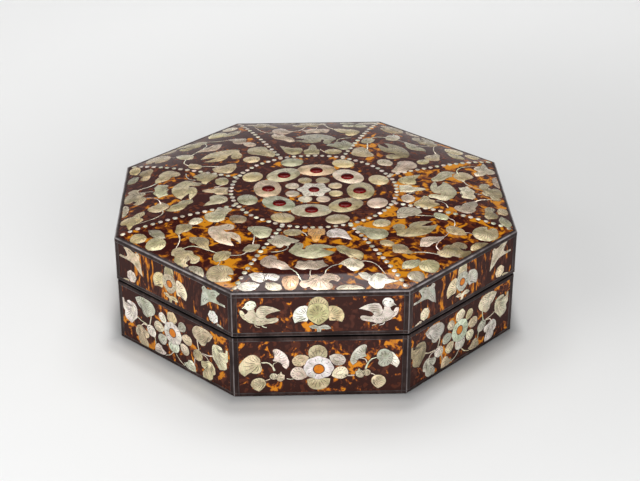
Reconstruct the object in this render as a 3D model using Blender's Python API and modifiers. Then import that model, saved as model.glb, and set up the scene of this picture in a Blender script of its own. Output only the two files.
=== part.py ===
"""An octagonal wooden box with a lift-off lid, faced with tortoiseshell plates and dark edging.

Metres, +Z up. The origin is the middle of the underside, and one flat side faces -Y.
"""
import math

import bmesh
import bpy
from mathutils import Vector

# Overall form
SIDES = 8
ACROSS_CORNERS = 0.392
BODY_HEIGHT = 0.0593
REVEAL = 0.0018
LID_SIDE_HEIGHT = 0.0420
LID_OVERHANG = 0.0005
DOME_RISE = 0.0090
DOME_POWER = 5.8
DOME_ROWS = 12

# Carcasses
WALL = 0.009
FLOOR_THICKNESS = 0.009
LID_TOP_THICKNESS = 0.009
LIP_THICKNESS = 0.004
LIP_HEIGHT = 0.007
LIP_CLEARANCE = 0.0006

# Facing plates and edging strips
PLATE_THICKNESS = 0.0016
EDGING_THICKNESS = 0.0018
EDGING_ROUNDING = 0.0006
POST_LEG = 0.0044
BODY_FOOT_STRIP = 0.0035
BODY_RIM_STRIP = 0.0035
LID_FOOT_STRIP = 0.0037
LID_TOP_STRIP = 0.0040
LID_TOP_STRIP_WIDTH = 0.0032
TOP_PLATE_SEAM = 0.0007
TOP_PLATE_TIP = 0.0020
FOOT_RECESS = 0.0003

# Cabochons on the lid
CABOCHON_RING_RADIUS = 0.0430
CABOCHON_RING_TURN = math.radians(-4.8)
CABOCHON_RADIUS = 0.0063
CABOCHON_HEIGHT = 0.0019
CENTRE_CABOCHON_RADIUS = 0.0053
CENTRE_CABOCHON_HEIGHT = 0.0017
CABOCHON_RIM = 0.0003
CABOCHON_STEPS = 20
CABOCHON_ROWS = 5

# Gap kept between pieces that touch
SEAT = 0.0003
MERGE_DISTANCE = 0.00001

# Worked out from the sizes above
HALF_SIDE_ANGLE = math.pi / SIDES
CORNER_FACTOR = 1.0 / math.cos(HALF_SIDE_ANGLE)
BODY_CORNER = ACROSS_CORNERS / 2.0
BODY_FACE = BODY_CORNER / CORNER_FACTOR
LID_FACE = BODY_FACE + LID_OVERHANG
LID_CORNER = LID_FACE * CORNER_FACTOR
LID_FOOT = BODY_HEIGHT + REVEAL
LID_SHOULDER = LID_FOOT + LID_SIDE_HEIGHT
PLATE_INSET = EDGING_THICKNESS - PLATE_THICKNESS
FACING_DEPTH = EDGING_THICKNESS + SEAT
LIP_TOP = BODY_HEIGHT + LIP_HEIGHT


def material(name, colour, roughness, coat=0.0):
    """A plain material with one colour."""
    made = bpy.data.materials.new(name)
    made.use_nodes = True
    shader = made.node_tree.nodes["Principled BSDF"]
    shader.inputs["Base Color"].default_value = (*colour, 1.0)
    shader.inputs["Roughness"].default_value = roughness
    shader.inputs["Metallic"].default_value = 0.0
    shader.inputs["Coat Weight"].default_value = coat
    made.diffuse_color = (*colour, 1.0)
    return made


def clear_scene():
    """Empty the scene that the script is run in."""
    for old in list(bpy.data.objects):
        bpy.data.objects.remove(old, do_unlink=True)


def link(piece, finish):
    """Put a piece in the box's collection, under the box's empty, with its material."""
    collection.objects.link(piece)
    piece.parent = base
    if finish is not None:
        piece.data.materials.append(finish)
    return piece


def to_corner(face_distance):
    """The corner radius of an octagon whose flat sides lie at face_distance."""
    return face_distance * CORNER_FACTOR


def dome_height(face_distance):
    """Height of the lid's outer surface at a distance measured square to the nearest side."""
    share = min(1.0, face_distance / LID_FACE)
    return LID_SHOULDER + DOME_RISE * (1.0 - share ** DOME_POWER)


def spaced(start, end, rows):
    """Distances from start to end, closer together towards the end, where the dome curves."""
    steps = [i / rows for i in range(rows + 1)]
    return [start + (end - start) * (1.0 - (1.0 - s) ** 1.6) for s in steps]


def turned(name, profile, steps, closed, finish, first_angle=0.0):
    """Turn a profile of (distance, height) points about Z, with flat sides when steps is low."""
    mesh = bpy.data.meshes.new(name)
    shape = bmesh.new()
    points = [shape.verts.new((x, 0.0, z)) for x, z in profile]
    pairs = list(zip(points, points[1:]))
    if closed:
        pairs.append((points[-1], points[0]))
    for a, b in pairs:
        shape.edges.new((a, b))
    shape.to_mesh(mesh)
    shape.free()
    piece = link(bpy.data.objects.new(name, mesh), finish)
    screw = piece.modifiers.new("Turn", "SCREW")
    screw.axis = "Z"
    screw.angle = 2.0 * math.pi
    screw.steps = steps
    screw.render_steps = steps
    screw.use_merge_vertices = True
    screw.merge_threshold = MERGE_DISTANCE
    screw.use_smooth_shade = False
    piece.rotation_euler.z = first_angle
    return piece


def eight_sided(name, face_profile, closed, finish):
    """A ring or box with flat sides. The profile's distances are square to a side."""
    profile = [(to_corner(x), z) for x, z in face_profile]
    return turned(name, profile, SIDES, closed, finish, HALF_SIDE_ANGLE)


def side_angle(index):
    """Direction that a side faces. Side 0 is the front, and the rest follow anticlockwise."""
    return -math.pi / 2.0 + 2.0 * math.pi * index / SIDES


def box_carcass():
    """The hollow wooden body: floor, walls and the raised lip that holds the lid in place."""
    outer = BODY_FACE - FACING_DEPTH
    inner = outer - WALL
    lip = inner + LIP_THICKNESS
    profile = [
        (0.0, FLOOR_THICKNESS),
        (inner, FLOOR_THICKNESS),
        (inner, LIP_TOP),
        (lip, LIP_TOP),
        (lip, BODY_HEIGHT),
        (outer, BODY_HEIGHT),
        (outer, 0.0),
        (0.0, 0.0),
    ]
    return eight_sided("box_carcass", profile, False, wood)


def lid_carcass():
    """The hollow wooden lid: domed top, walls and the rabbet that drops over the lip."""
    outer = LID_FACE - FACING_DEPTH
    box_inner = BODY_FACE - FACING_DEPTH - WALL
    rabbet = box_inner + LIP_THICKNESS + LIP_CLEARANCE
    inner = outer - WALL
    ledge = LIP_TOP + SEAT
    top = [(x, dome_height(x) - FACING_DEPTH) for x in spaced(0.0, outer, DOME_ROWS)]
    ceiling_drop = FACING_DEPTH + LID_TOP_THICKNESS
    ceiling = [(x, dome_height(x) - ceiling_drop) for x in spaced(0.0, inner, DOME_ROWS)]
    walls = [
        (outer, LID_FOOT),
        (rabbet, LID_FOOT),
        (rabbet, ledge),
        (inner, ledge),
    ]
    return eight_sided("lid_carcass", top + walls + ceiling[::-1], False, wood)


def side_strip(name, face, low, high, round_low, round_high):
    """An eight-sided ring of edging that lies flat on the carcass's side."""
    back = face - EDGING_THICKNESS
    profile = []
    if round_high:
        profile += [(face - EDGING_ROUNDING, high), (face, high - EDGING_ROUNDING)]
    else:
        profile += [(face, high)]
    if round_low:
        profile += [(face, low + EDGING_ROUNDING), (face - EDGING_ROUNDING, low)]
    else:
        profile += [(face, low)]
    profile += [(back, low), (back, high)]
    return eight_sided(name, profile, True, horn)


def lid_top_strip():
    """The ring at the lid's upper edge, which turns over from the side onto the top."""
    low = LID_SHOULDER - LID_TOP_STRIP
    inner = LID_FACE - LID_TOP_STRIP_WIDTH
    back = LID_FACE - EDGING_THICKNESS
    near_edge = LID_FACE - EDGING_ROUNDING
    profile = [
        (inner, dome_height(inner)),
        (near_edge, dome_height(near_edge)),
        (LID_FACE, LID_SHOULDER - EDGING_ROUNDING),
        (LID_FACE, low),
        (back, low),
        (back, dome_height(back) - EDGING_THICKNESS),
        (inner, dome_height(inner) - EDGING_THICKNESS),
    ]
    return eight_sided("lid_top_edging", profile, True, horn)


def corner_post(name, corner, low, high, index):
    """An upright strip of edging, folded around a corner."""
    across = math.cos(HALF_SIDE_ANGLE)
    along = math.sin(HALF_SIDE_ANGLE)
    tip = corner - EDGING_ROUNDING * along
    leg = Vector((-along, across))
    inward = Vector((-across, -along))
    edge = Vector((corner, 0.0)) + POST_LEG * leg
    near_tip = Vector((corner, 0.0)) + EDGING_ROUNDING * leg
    back = edge + EDGING_THICKNESS * inward
    fold = Vector((corner - EDGING_THICKNESS * CORNER_FACTOR, 0.0))
    upper = [edge, near_tip, Vector((tip, 0.0))]
    outline = [
        *upper,
        Vector((near_tip.x, -near_tip.y)),
        Vector((edge.x, -edge.y)),
        Vector((back.x, -back.y)),
        fold,
        back,
    ]
    curve = bpy.data.curves.new(name, "CURVE")
    curve.dimensions = "2D"
    curve.fill_mode = "BOTH"
    curve.extrude = (high - low) / 2.0
    spline = curve.splines.new("POLY")
    spline.points.add(len(outline) - 1)
    for point, place in zip(spline.points, outline):
        point.co = (place.x, place.y, 0.0, 1.0)
    spline.use_cyclic_u = True
    piece = link(bpy.data.objects.new(name, curve), horn)
    piece.location.z = (low + high) / 2.0
    piece.rotation_euler.z = side_angle(index) - HALF_SIDE_ANGLE
    return piece


def side_plate(name, face, low, high, index):
    """A flat tortoiseshell plate between two upright strips and two rings of edging."""
    side_length = 2.0 * face * math.tan(HALF_SIDE_ANGLE)
    width = side_length - 2.0 * (POST_LEG + SEAT)
    middle = face - PLATE_INSET - PLATE_THICKNESS / 2.0
    angle = side_angle(index)
    mesh = bpy.data.meshes.new(name)
    shape = bmesh.new()
    bmesh.ops.create_cube(shape, size=1.0)
    bmesh.ops.scale(shape, vec=(PLATE_THICKNESS, width, high - low), verts=shape.verts)
    shape.to_mesh(mesh)
    shape.free()
    piece = link(bpy.data.objects.new(name, mesh), tortoiseshell)
    piece.location = (middle * math.cos(angle), middle * math.sin(angle), (low + high) / 2.0)
    piece.rotation_euler.z = angle
    return piece


def top_plate(name, index):
    """The tortoiseshell plate on one facet of the domed top, from the middle to the edging.

    It is a strip of ever wider rows, which Solidify makes into a plate.
    """
    outer = LID_FACE - LID_TOP_STRIP_WIDTH - SEAT
    mesh = bpy.data.meshes.new(name)
    shape = bmesh.new()
    rows = []
    for distance in spaced(TOP_PLATE_TIP, outer, DOME_ROWS):
        half_width = distance * math.tan(HALF_SIDE_ANGLE) - TOP_PLATE_SEAM / 2.0
        height = dome_height(distance) - PLATE_INSET
        left = shape.verts.new((distance, -half_width, height))
        right = shape.verts.new((distance, half_width, height))
        rows.append((left, right))
    for (left, right), (next_left, next_right) in zip(rows, rows[1:]):
        shape.faces.new((left, next_left, next_right, right))
    shape.to_mesh(mesh)
    shape.free()
    piece = link(bpy.data.objects.new(name, mesh), tortoiseshell)
    piece.rotation_euler.z = side_angle(index)
    solidify = piece.modifiers.new("Thickness", "SOLIDIFY")
    solidify.thickness = PLATE_THICKNESS
    solidify.offset = -1.0
    solidify.use_even_offset = True
    return piece


def cabochon(name, radius, height, distance, angle):
    """A domed, round red boss with a flat back, set on the top plates."""
    quarter = math.pi / 2.0
    rise = height - CABOCHON_RIM
    profile = []
    for row in range(CABOCHON_ROWS + 1):
        turn = quarter * row / CABOCHON_ROWS
        profile.append((radius * math.sin(turn), CABOCHON_RIM + rise * math.cos(turn)))
    profile[0] = (0.0, height)
    profile += [(radius, 0.0), (0.0, 0.0)]
    piece = turned(name, profile, CABOCHON_STEPS, False, red_glass)
    seat = dome_height(distance) - PLATE_INSET + SEAT
    piece.location = (distance * math.cos(angle), distance * math.sin(angle), seat)
    return piece


def body_pieces():
    """Carcass, plates and edging of the body."""
    box_carcass()
    foot = FOOT_RECESS + BODY_FOOT_STRIP
    rim = BODY_HEIGHT - BODY_RIM_STRIP
    side_strip("body_foot_edging", BODY_FACE, FOOT_RECESS, foot, True, False)
    side_strip("body_rim_edging", BODY_FACE, rim, BODY_HEIGHT, False, True)
    for index in range(SIDES):
        number = index + 1
        corner_post(f"body_corner_edging_{number}", BODY_CORNER, foot + SEAT, rim - SEAT, index)
        side_plate(f"body_side_plate_{number}", BODY_FACE, foot + SEAT, rim - SEAT, index)


def lid_pieces():
    """Carcass, plates, edging and cabochons of the lid."""
    lid_carcass()
    foot = LID_FOOT + LID_FOOT_STRIP
    shoulder = LID_SHOULDER - LID_TOP_STRIP
    side_strip("lid_foot_edging", LID_FACE, LID_FOOT, foot, True, False)
    lid_top_strip()
    for index in range(SIDES):
        number = index + 1
        corner_post(f"lid_corner_edging_{number}", LID_CORNER, foot + SEAT, shoulder - SEAT, index)
        side_plate(f"lid_side_plate_{number}", LID_FACE, foot + SEAT, shoulder - SEAT, index)
        top_plate(f"lid_top_plate_{number}", index)
        cabochon(f"cabochon_{number}", CABOCHON_RADIUS, CABOCHON_HEIGHT,
                 CABOCHON_RING_RADIUS, side_angle(index) + CABOCHON_RING_TURN)
    cabochon("cabochon_centre", CENTRE_CABOCHON_RADIUS, CENTRE_CABOCHON_HEIGHT, 0.0, 0.0)


clear_scene()
collection = bpy.data.collections.new("Inlaid octagonal box")
bpy.context.scene.collection.children.link(collection)
base = bpy.data.objects.new("box_base", None)
collection.objects.link(base)

wood = material("dark lacquered wood", (0.060, 0.032, 0.022), 0.45)
tortoiseshell = material("tortoiseshell", (0.280, 0.110, 0.030), 0.12, 0.6)
horn = material("dark horn", (0.075, 0.062, 0.056), 0.35)
red_glass = material("red glass", (0.250, 0.010, 0.012), 0.08, 0.6)

body_pieces()
lid_pieces()
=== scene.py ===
"""Looks of an octagonal lidded box: tortoiseshell plates inlaid with cut mother-of-pearl."""
import math
import random

import bmesh
import bpy
import numpy as np
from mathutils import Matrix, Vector


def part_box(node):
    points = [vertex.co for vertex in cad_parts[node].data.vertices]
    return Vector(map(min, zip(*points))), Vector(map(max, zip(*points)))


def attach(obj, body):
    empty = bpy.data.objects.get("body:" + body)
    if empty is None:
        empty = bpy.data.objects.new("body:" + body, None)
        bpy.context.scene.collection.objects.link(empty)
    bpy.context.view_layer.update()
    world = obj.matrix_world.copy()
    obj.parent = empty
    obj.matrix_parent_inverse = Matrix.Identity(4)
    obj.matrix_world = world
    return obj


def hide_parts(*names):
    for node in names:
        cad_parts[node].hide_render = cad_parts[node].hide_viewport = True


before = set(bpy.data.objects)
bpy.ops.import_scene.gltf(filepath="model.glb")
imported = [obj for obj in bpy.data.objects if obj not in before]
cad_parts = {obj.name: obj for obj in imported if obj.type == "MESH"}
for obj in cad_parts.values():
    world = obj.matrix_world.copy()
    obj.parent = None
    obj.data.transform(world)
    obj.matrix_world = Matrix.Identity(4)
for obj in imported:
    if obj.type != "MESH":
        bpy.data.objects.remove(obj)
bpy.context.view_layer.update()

ROOT = "root"
SIDES = 8
MM = 0.001
HALF_SIDE_ANGLE = math.pi / SIDES

# Sizes read from the frame, in millimetres
BODY_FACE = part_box("body_foot_edging")[1][0] / MM
BODY_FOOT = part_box("body_foot_edging")[0][2] / MM
BODY_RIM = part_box("body_rim_edging")[1][2] / MM
LID_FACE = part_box("lid_foot_edging")[1][0] / MM
LID_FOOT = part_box("lid_foot_edging")[0][2] / MM

# Sizes of the lid's top, as the construction has them, in millimetres
LID_SIDE_HEIGHT = 42.0
DOME_RISE = 9.0
DOME_POWER = 5.8
LID_SHOULDER = LID_FOOT + LID_SIDE_HEIGHT
PLATE_INSET = 0.2
PLATE_THICKNESS = 1.6
TOP_STRIP_WIDTH = 3.2
CABOCHON_RING_RADIUS = 43.0
CABOCHON_RING_TURN = math.radians(-4.8)
CABOCHON_RADIUS = 6.3
CABOCHON_HEIGHT = 1.9
CENTRE_CABOCHON_RADIUS = 5.3
CENTRE_CABOCHON_HEIGHT = 1.7

# Painted highlight lines along the edges of the dark strips: heights with strengths, and the share of
# a side they start at
STRIP_HIGHLIGHT_LINES = ((LID_SHOULDER - 0.1, 1.0), (LID_SHOULDER - 3.8, 0.3), (LID_FOOT + 3.6, 0.25),
               (LID_FOOT + 0.5, 0.3), (BODY_RIM - 3.4, 0.25), (BODY_FOOT + 3.4, 0.15))
STRIP_CORNER_SHARE = 0.0258

# Inlay, in millimetres
INLAY_LIFT = 0.05
INLAY_LEVEL = 0.03
INLAY_DEPTH = 0.30
INLAY_RIM = 0.24
LINE_WIDTH = 0.42
LINE_LIFT = 0.012
BOW_DRIFT = 0.55
TOP_CUT_START = 92.0
TOP_CUT_STEP = 4.0
INLAY_SEAM = 0.004
RING_DOTS = 70
MEDALLION_RADIUS = 78.0
MEDALLION_DARK = -0.054
PLATE_AMBER = (-0.002, 0.042, -0.018, -0.036, -0.080, -0.038, -0.055, 0.022)
HIP_DOTS = 16
HIP_DOT_START = 81.0
HIP_DOT_END = 188.5
PETAL_LEAN = (1, -2, 2, 0, 3, -1, 2, -2)
SEAM_COLOUR = (52, 36, 26)
# Painted shade and light: the same shell in two sets of tints, darker and warmer on the top, paler on
# the sides, standing in for how the light falls on each
TOP_SHELLS = ((188, 169, 132), (181, 162, 119), (174, 167, 137), (191, 170, 148),
              (214, 199, 174), (163, 142, 102))
SIDE_SHELLS = ((230, 216, 188), (220, 203, 168), (214, 213, 196), (232, 214, 204),
               (238, 230, 218), (204, 186, 144))
SHELL_SHARES = (26, 22, 13, 11, 15, 13)
DOT_COLOUR = (222, 213, 194)
DISC_SHELLS = (1, 4, 0, 2, 0, 2, 3, 1)
# Painted sheen: paler, pinker tints for the shells of the front facet's outer row, standing in for the
# light they reflect
SHEEN_TINTED_SHELLS = ((240, 222, 206), (246, 236, 224), (232, 214, 194))
FRONT_ROW = 154.0
AMBER_COLOUR = (214, 122, 20)
DISC_RING_COLOUR = (104, 56, 24)
FRONT_DISC_COLOUR = (240, 232, 236)
SIDE_DISC_COLOUR = (226, 222, 208)
FOOT_PETAL_COLOUR = (226, 224, 214)
LOBES_COLOUR = (214, 210, 190)
HEAD_COLOUR = (246, 240, 226)
STEM_COLOUR = (240, 230, 206)
GOLDEN = (202, 188, 148)
BRUISE_COLOUR = (0.17, 0.055, 0.034)
STAIN_COLOUR = (0.13, 0.09, 0.05)
DEEP_AMBER = (0.40, 0.12, 0.012)
# Colour of the painted highlights on the dark strips
HORN_HIGHLIGHT_COLOUR = (0.34, 0.31, 0.31)
OUTLINE_STEPS = 4
ARC_POINTS = 6
LEAF_STEPS = 15
TOOTH_DEPTH = 0.10
DISC_RING = 1.4
DISC_POINTS = 28
SHORTEST_RAY = 2.5
SHELL_SMOOTHING = 14.0
LINE_SMOOTHING = 30.0
TOP_UNEVENNESS = (0.35, 0.22)
SIDE_UNEVENNESS = (0.2, 0.08)
SMALL_PETAL = (9.66, 11.55)
LARGE_PETAL = (10.92, 13.65)
LOW_PETAL = (11.13, 12.6)
FACET_STEM_WIDTHS = (1.3, 1.0)
MIRRORED = (0.0, 1.0, True)

# Rings of the medallion: distances from the middle, and turns
PETAL_DISTANCE = 22.0
PETAL_TURN = math.radians(1.0)
DISC_DISTANCE = 44.0
OVAL_DISTANCE = 65.3
OVAL_TURN = math.radians(5.1)
DOT_DRIFT = 0.3

STREAKED_PLATES = ("lid_side_plate_8", "lid_side_plate_2", "lid_side_plate_5")

PLATE_ROWS = 44
PLATE_COLUMNS = 8
PLATE_SEAM = 0.05
PLATE_TIP_WIDTH = 0.15
PLATE_SPREAD = 1.6
DOME_ROWS = 10
DOME_SIDES = 40
DOME_FOOT = 0.15
DOME_SINK = 0.2

# Camera, in metres, with its lens and sensor in millimetres, and the light all around
CAMERA_PLACE = (-0.0384, -1.300, 0.7350)
CAMERA_AIM = (0.0094, 0.1100, 0.0006)
LENS = 86.12
SENSOR = 36.0
SKY_COLOUR = (0.97, 0.985, 1.0, 1.0)
SKY_STRENGTH = 0.06

chance = random.Random(41)


def side_angle(index):
    """Angle that a side faces. Side 0 is the front, and the rest follow anticlockwise."""
    return -math.pi / 2.0 + 2.0 * math.pi * index / SIDES


def facing(index):
    """The direction that a side faces, as a vector."""
    return (math.cos(side_angle(index)), math.sin(side_angle(index)), 0.0)


def dome_height(distance):
    """Height of the lid's edging surface, from the distance square to the nearest side."""
    share = np.minimum(1.0, np.asarray(distance) / LID_FACE)
    return LID_SHOULDER + DOME_RISE * (1.0 - share ** DOME_POWER)


# Outlines. Every outline is a list of (x, y) points in millimetres, going round once.

def spline(points, closed, steps):
    """A smooth line through the points. A point with a third value stays a sharp corner."""
    count = len(points)
    spans = count if closed else count - 1
    line = []
    for i in range(spans):
        start = points[i]
        end = points[(i + 1) % count]
        before = points[i - 1] if closed or i > 0 else start
        after = points[(i + 2) % count] if closed or i + 2 < count else end
        chord = (end[0] - start[0], end[1] - start[1])
        length = math.hypot(*chord)
        leave = chord if len(start) > 2 else direction(before, end, length)
        arrive = chord if len(end) > 2 else direction(start, after, length)
        for step in range(steps):
            t = step / steps
            a = 2 * t ** 3 - 3 * t ** 2 + 1
            b = t ** 3 - 2 * t ** 2 + t
            c = 3 * t ** 2 - 2 * t ** 3
            d = t ** 3 - t ** 2
            line.append(tuple(a * start[k] + b * leave[k] + c * end[k] + d * arrive[k]
                              for k in (0, 1)))
    if not closed:
        line.append(tuple(points[-1][:2]))
    return line


def direction(start, end, length):
    """A step of the given length from start towards end."""
    reach = math.hypot(end[0] - start[0], end[1] - start[1]) or 1.0
    return ((end[0] - start[0]) / reach * length, (end[1] - start[1]) / reach * length)


def outline(points):
    """A closed smooth outline."""
    return spline(points, True, OUTLINE_STEPS)


def ring(width, height, count, lobes=0, depth=0.0, turn=0.0):
    """An oval, which can have lobes around it."""
    points = []
    for i in range(count):
        angle = 2.0 * math.pi * i / count
        swell = 1.0 + depth * math.cos(lobes * angle + turn)
        points.append((width / 2.0 * math.cos(angle) * swell, height / 2.0 * math.sin(angle) * swell))
    return points


def ribbon(points, start_width, end_width, steps=5):
    """The outline of a line of changing width along a smooth route."""
    route = spline(points, False, steps)
    left = []
    right = []
    for i, point in enumerate(route):
        before = route[max(0, i - 1)]
        after = route[min(len(route) - 1, i + 1)]
        ahead = direction(before, after, 1.0)
        share = i / (len(route) - 1)
        half = (start_width + (end_width - start_width) * share) / 2.0
        left.append((point[0] - ahead[1] * half, point[1] + ahead[0] * half))
        right.append((point[0] + ahead[1] * half, point[1] - ahead[0] * half))
    return left + right[::-1]


def scratch(points, width=LINE_WIDTH, steps=3):
    """The outline of an engraved line, pointed at both ends."""
    route = spline(points, False, steps)
    last = len(route) - 1
    left = []
    right = []
    for i in range(1, last):
        ahead = direction(route[i - 1], route[i + 1], 1.0)
        half = width / 2.0 * math.sqrt(math.sin(math.pi * i / last))
        left.append((route[i][0] - ahead[1] * half, route[i][1] + ahead[0] * half))
        right.append((route[i][0] + ahead[1] * half, route[i][1] - ahead[0] * half))
    return [route[0], *left, route[-1], *right[::-1]]


class Item:
    """One flat piece of a pattern: what it is cut from, its outline, its level and its tint."""

    def __init__(self, kind, points, level=0, tint=None):
        self.kind = kind
        self.points = points
        self.level = level
        self.tint = tint

    def moved(self, x, y, turn, size, flip):
        """A copy of the piece at another place."""
        cosine = math.cos(turn)
        sine = math.sin(turn)
        placed = []
        for px, py in self.points:
            px = -px * size if flip else px * size
            py = py * size
            placed.append((x + px * cosine - py * sine, y + px * sine + py * cosine))
        return Item(self.kind, placed, self.level, self.tint)


def shell(points, level=0, tint=None):
    return Item("shell", points, level, tint)


def line(points, level=0, width=LINE_WIDTH, steps=3):
    return Item("line", scratch(points, width, steps), level)


def short_line(*points, level=0):
    return line(points, level, steps=2)


def ring_at(x, y, *shape):
    """The points of an oval around a place."""
    return [(px + x, py + y) for px, py in ring(*shape)]


def amber_disc(x, y, size, level):
    """A round amber disc in a brown ring."""
    around = size + DISC_RING
    return [shell(ring_at(x, y, around, around, DISC_POINTS), level, DISC_RING_COLOUR),
            Item("amber", ring_at(x, y, size, size, DISC_POINTS), level + 1)]


def rays(root, points, every=3, near=0.22, far=0.82, level=0, bend=0.0):
    """Engraved lines from a root towards the points of an outline."""
    half = (near + far) / 2.0
    lines = []
    for px, py in points[::every]:
        dx = px - root[0]
        dy = py - root[1]
        if math.hypot(dx, dy) < SHORTEST_RAY:
            continue
        start = (root[0] + dx * near, root[1] + dy * near)
        middle = (root[0] + dx * half - dy * bend, root[1] + dy * half + dx * bend)
        end = (root[0] + dx * far, root[1] + dy * far)
        lines.append(short_line(start, middle, end, level=level))
    return lines


def rayed(points, root, every=3, near=0.2, far=0.86, level=0, tint=None, bend=0.0, part=slice(None)):
    """A piece of shell with engraved lines from a root towards part of its outline."""
    return [shell(points, level, tint), *rays(root, points[part], every, near, far, level, bend)]


def piece(points, root, every=3, tint=None, bend=0.0):
    """A rayed piece with a smooth outline."""
    return rayed(outline(points), root, every, tint=tint, bend=bend)


def leaf(length, width, teeth, bend, blunt):
    """A pointed leaf along +X from its stalk, with rounded teeth and its veins engraved."""
    def middle(t):
        return bend * length * math.sin(math.pi * t)

    upper = []
    lower = []
    for i in range(LEAF_STEPS + 1):
        t = i / LEAF_STEPS
        half = width / 2.0 * math.sin(math.pi * t ** blunt)
        half *= 1.0 - TOOTH_DEPTH + TOOTH_DEPTH * abs(math.sin(math.pi * teeth * t))
        upper.append((length * t, middle(t) + half))
        lower.append((length * t, middle(t) - half))
    midrib = [(length * t, middle(t)) for t in (0.06, 0.35, 0.65, 0.9)]
    items = [shell(lower + upper[::-1][1:-1]), line(midrib, 0, LINE_WIDTH * 1.2)]
    for t in (0.25, 0.45, 0.65):
        y = middle(t)
        reach = width / 2.0 * math.sin(math.pi * (t + 0.1) ** blunt) * 0.72
        for way in (-1, 1):
            items.append(short_line((length * t, y), (length * (t + 0.09), y + way * reach * 0.55),
                                    (length * (t + 0.14), y + way * reach)))
    return items


def bud(size):
    """A round bud with two curved engraved lines."""
    half = size / 2.0
    lines = [short_line((way * half * 0.15, half * 0.8), (way * half * 0.5, 0.0),
                        (way * half * 0.15, -half * 0.8)) for way in (-1, 1)]
    return [shell(ring(size, size * 0.92, 22)), *lines]


def half_round(width, height):
    """A cup or half flower: flat along the top, round below, with rays."""
    right = [(0.18, -0.5), (0.42, -0.2), (0.5, 0.42, 1), (0.25, 0.5)]
    left = [(-p[0], *p[1:]) for p in right]
    shares = [left[2], left[1], left[0], *right, (0.0, 0.4), left[3]]
    points = outline([(width * p[0], height * p[1], *p[2:]) for p in shares])
    return rayed(points, (0.0, height * 0.55), near=0.25, part=slice(2, 22))


def fan_leaf():
    """A broad crescent leaf with fine lines fanning out from its hollow side."""
    points = outline([
        (-7, 8.1), (-5.4, 10.2), (-1.2, 9.3), (4.1, 4.5), (7, -2), (7.2, -7.3), (4.8, -10.9, 1),
        (2, -8.5), (0.4, -4.9), (-3.3, -3.2), (-7, -2, 1), (-5.4, 1.5), (-5.9, 5.1)])
    return rayed(points, (-5.5, -1), 2, 0.3, 0.88, part=slice(0, 28))


def lobed_leaf():
    """A large leaf with its stalk at the right and three lobes ending in a tip."""
    points = outline([
        (9.5, 1.7), (9, 5.9), (5.3, 9.5), (1.1, 10), (-3.1, 7.7), (-7.3, 3.5), (-9.9, -1.8),
        (-8.9, -7.7), (-4.7, -12.1, 1), (-1.5, -9.2), (0.1, -8, 1), (4.3, -9.5), (9, -8), (10.4, -3),
        (9.6, -0.5)])
    return rayed(points, (9, 1), 4, bend=0.05, part=slice(8, 50))


def round_leaf(size):
    """A round leaf with a small point at its foot and veins from its upper right."""
    half = size / 2.0
    shares = [(0.1, 1.0), (0.75, 0.72), (1.0, 0.0), (0.66, -0.66), (0.1, -1.16, 1), (-0.62, -0.72),
              (-1.0, -0.05), (-0.72, 0.70)]
    points = outline([(p[0] * half, p[1] * half, *p[2:]) for p in shares])
    return rayed(points, (0.55 * half, 0.62 * half), 2, 0.12, bend=0.12, part=slice(12, 32))


def eyed_petal(width, height):
    """A loose petal, pointed at its top, with a lens shape and short rays engraved."""
    right = [(0.36, 0.26), (0.5, -0.12), (0.26, -0.47)]
    shares = [(0, 0.52, 1), *right, *[(-x, y) for x, y in right[::-1]]]
    points = outline([(width * p[0], height * p[1], *p[2:]) for p in shares])
    lens = [(0, height * 0.3), (width * 0.17, 0), (width * 0.1, -height * 0.22)]
    return [shell(points), line(lens), line([(-x, y) for x, y in lens]),
            *rays((0.0, height * 0.1), points[7:23], 2, 0.62, 0.88)]


def double_leaf():
    """A round leaf that half covers a second one behind it."""
    behind = outline([(0, 9.5), (5, 5), (7.8, -1.5), (5.2, -7, 1), (1.5, -4), (-3, -1), (-3, 6)])
    front = outline([
        (-6, 12.3), (-11, 9.5), (-12.6, 3.5), (-10.5, 0.5, 1), (-11, -3), (-7, -5.8), (-2, -4.5, 1),
        (0.5, -1), (1.8, 4), (0, 9.5)])
    return [*rayed(behind, (-3, 3), 3, 0.22, 0.82, part=slice(4, 18)),
            *rayed(front, (-4.5, 3), 3, 0.3, 0.85, 1)]


def bud_pair():
    """A round bud beside a small notched leaf."""
    notched = outline([(1.2, -3.5), (1.6, 1.2), (3.5, 2.6), (5.6, 5.2, 1), (6.6, 2.2), (8.6, 1.4, 1),
                       (8.4, -3.2, 1), (4.5, -5.3)])
    return [*rayed(notched, (2.5, -1.5), 4, 0.22, 0.82, part=slice(4, 26)), *put(bud(7.4), -1.2, 0)]


def eye(x, y, size, level=0):
    """A small engraved dot."""
    return Item("line", ring_at(x, y, size, size, 8), level)


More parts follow.
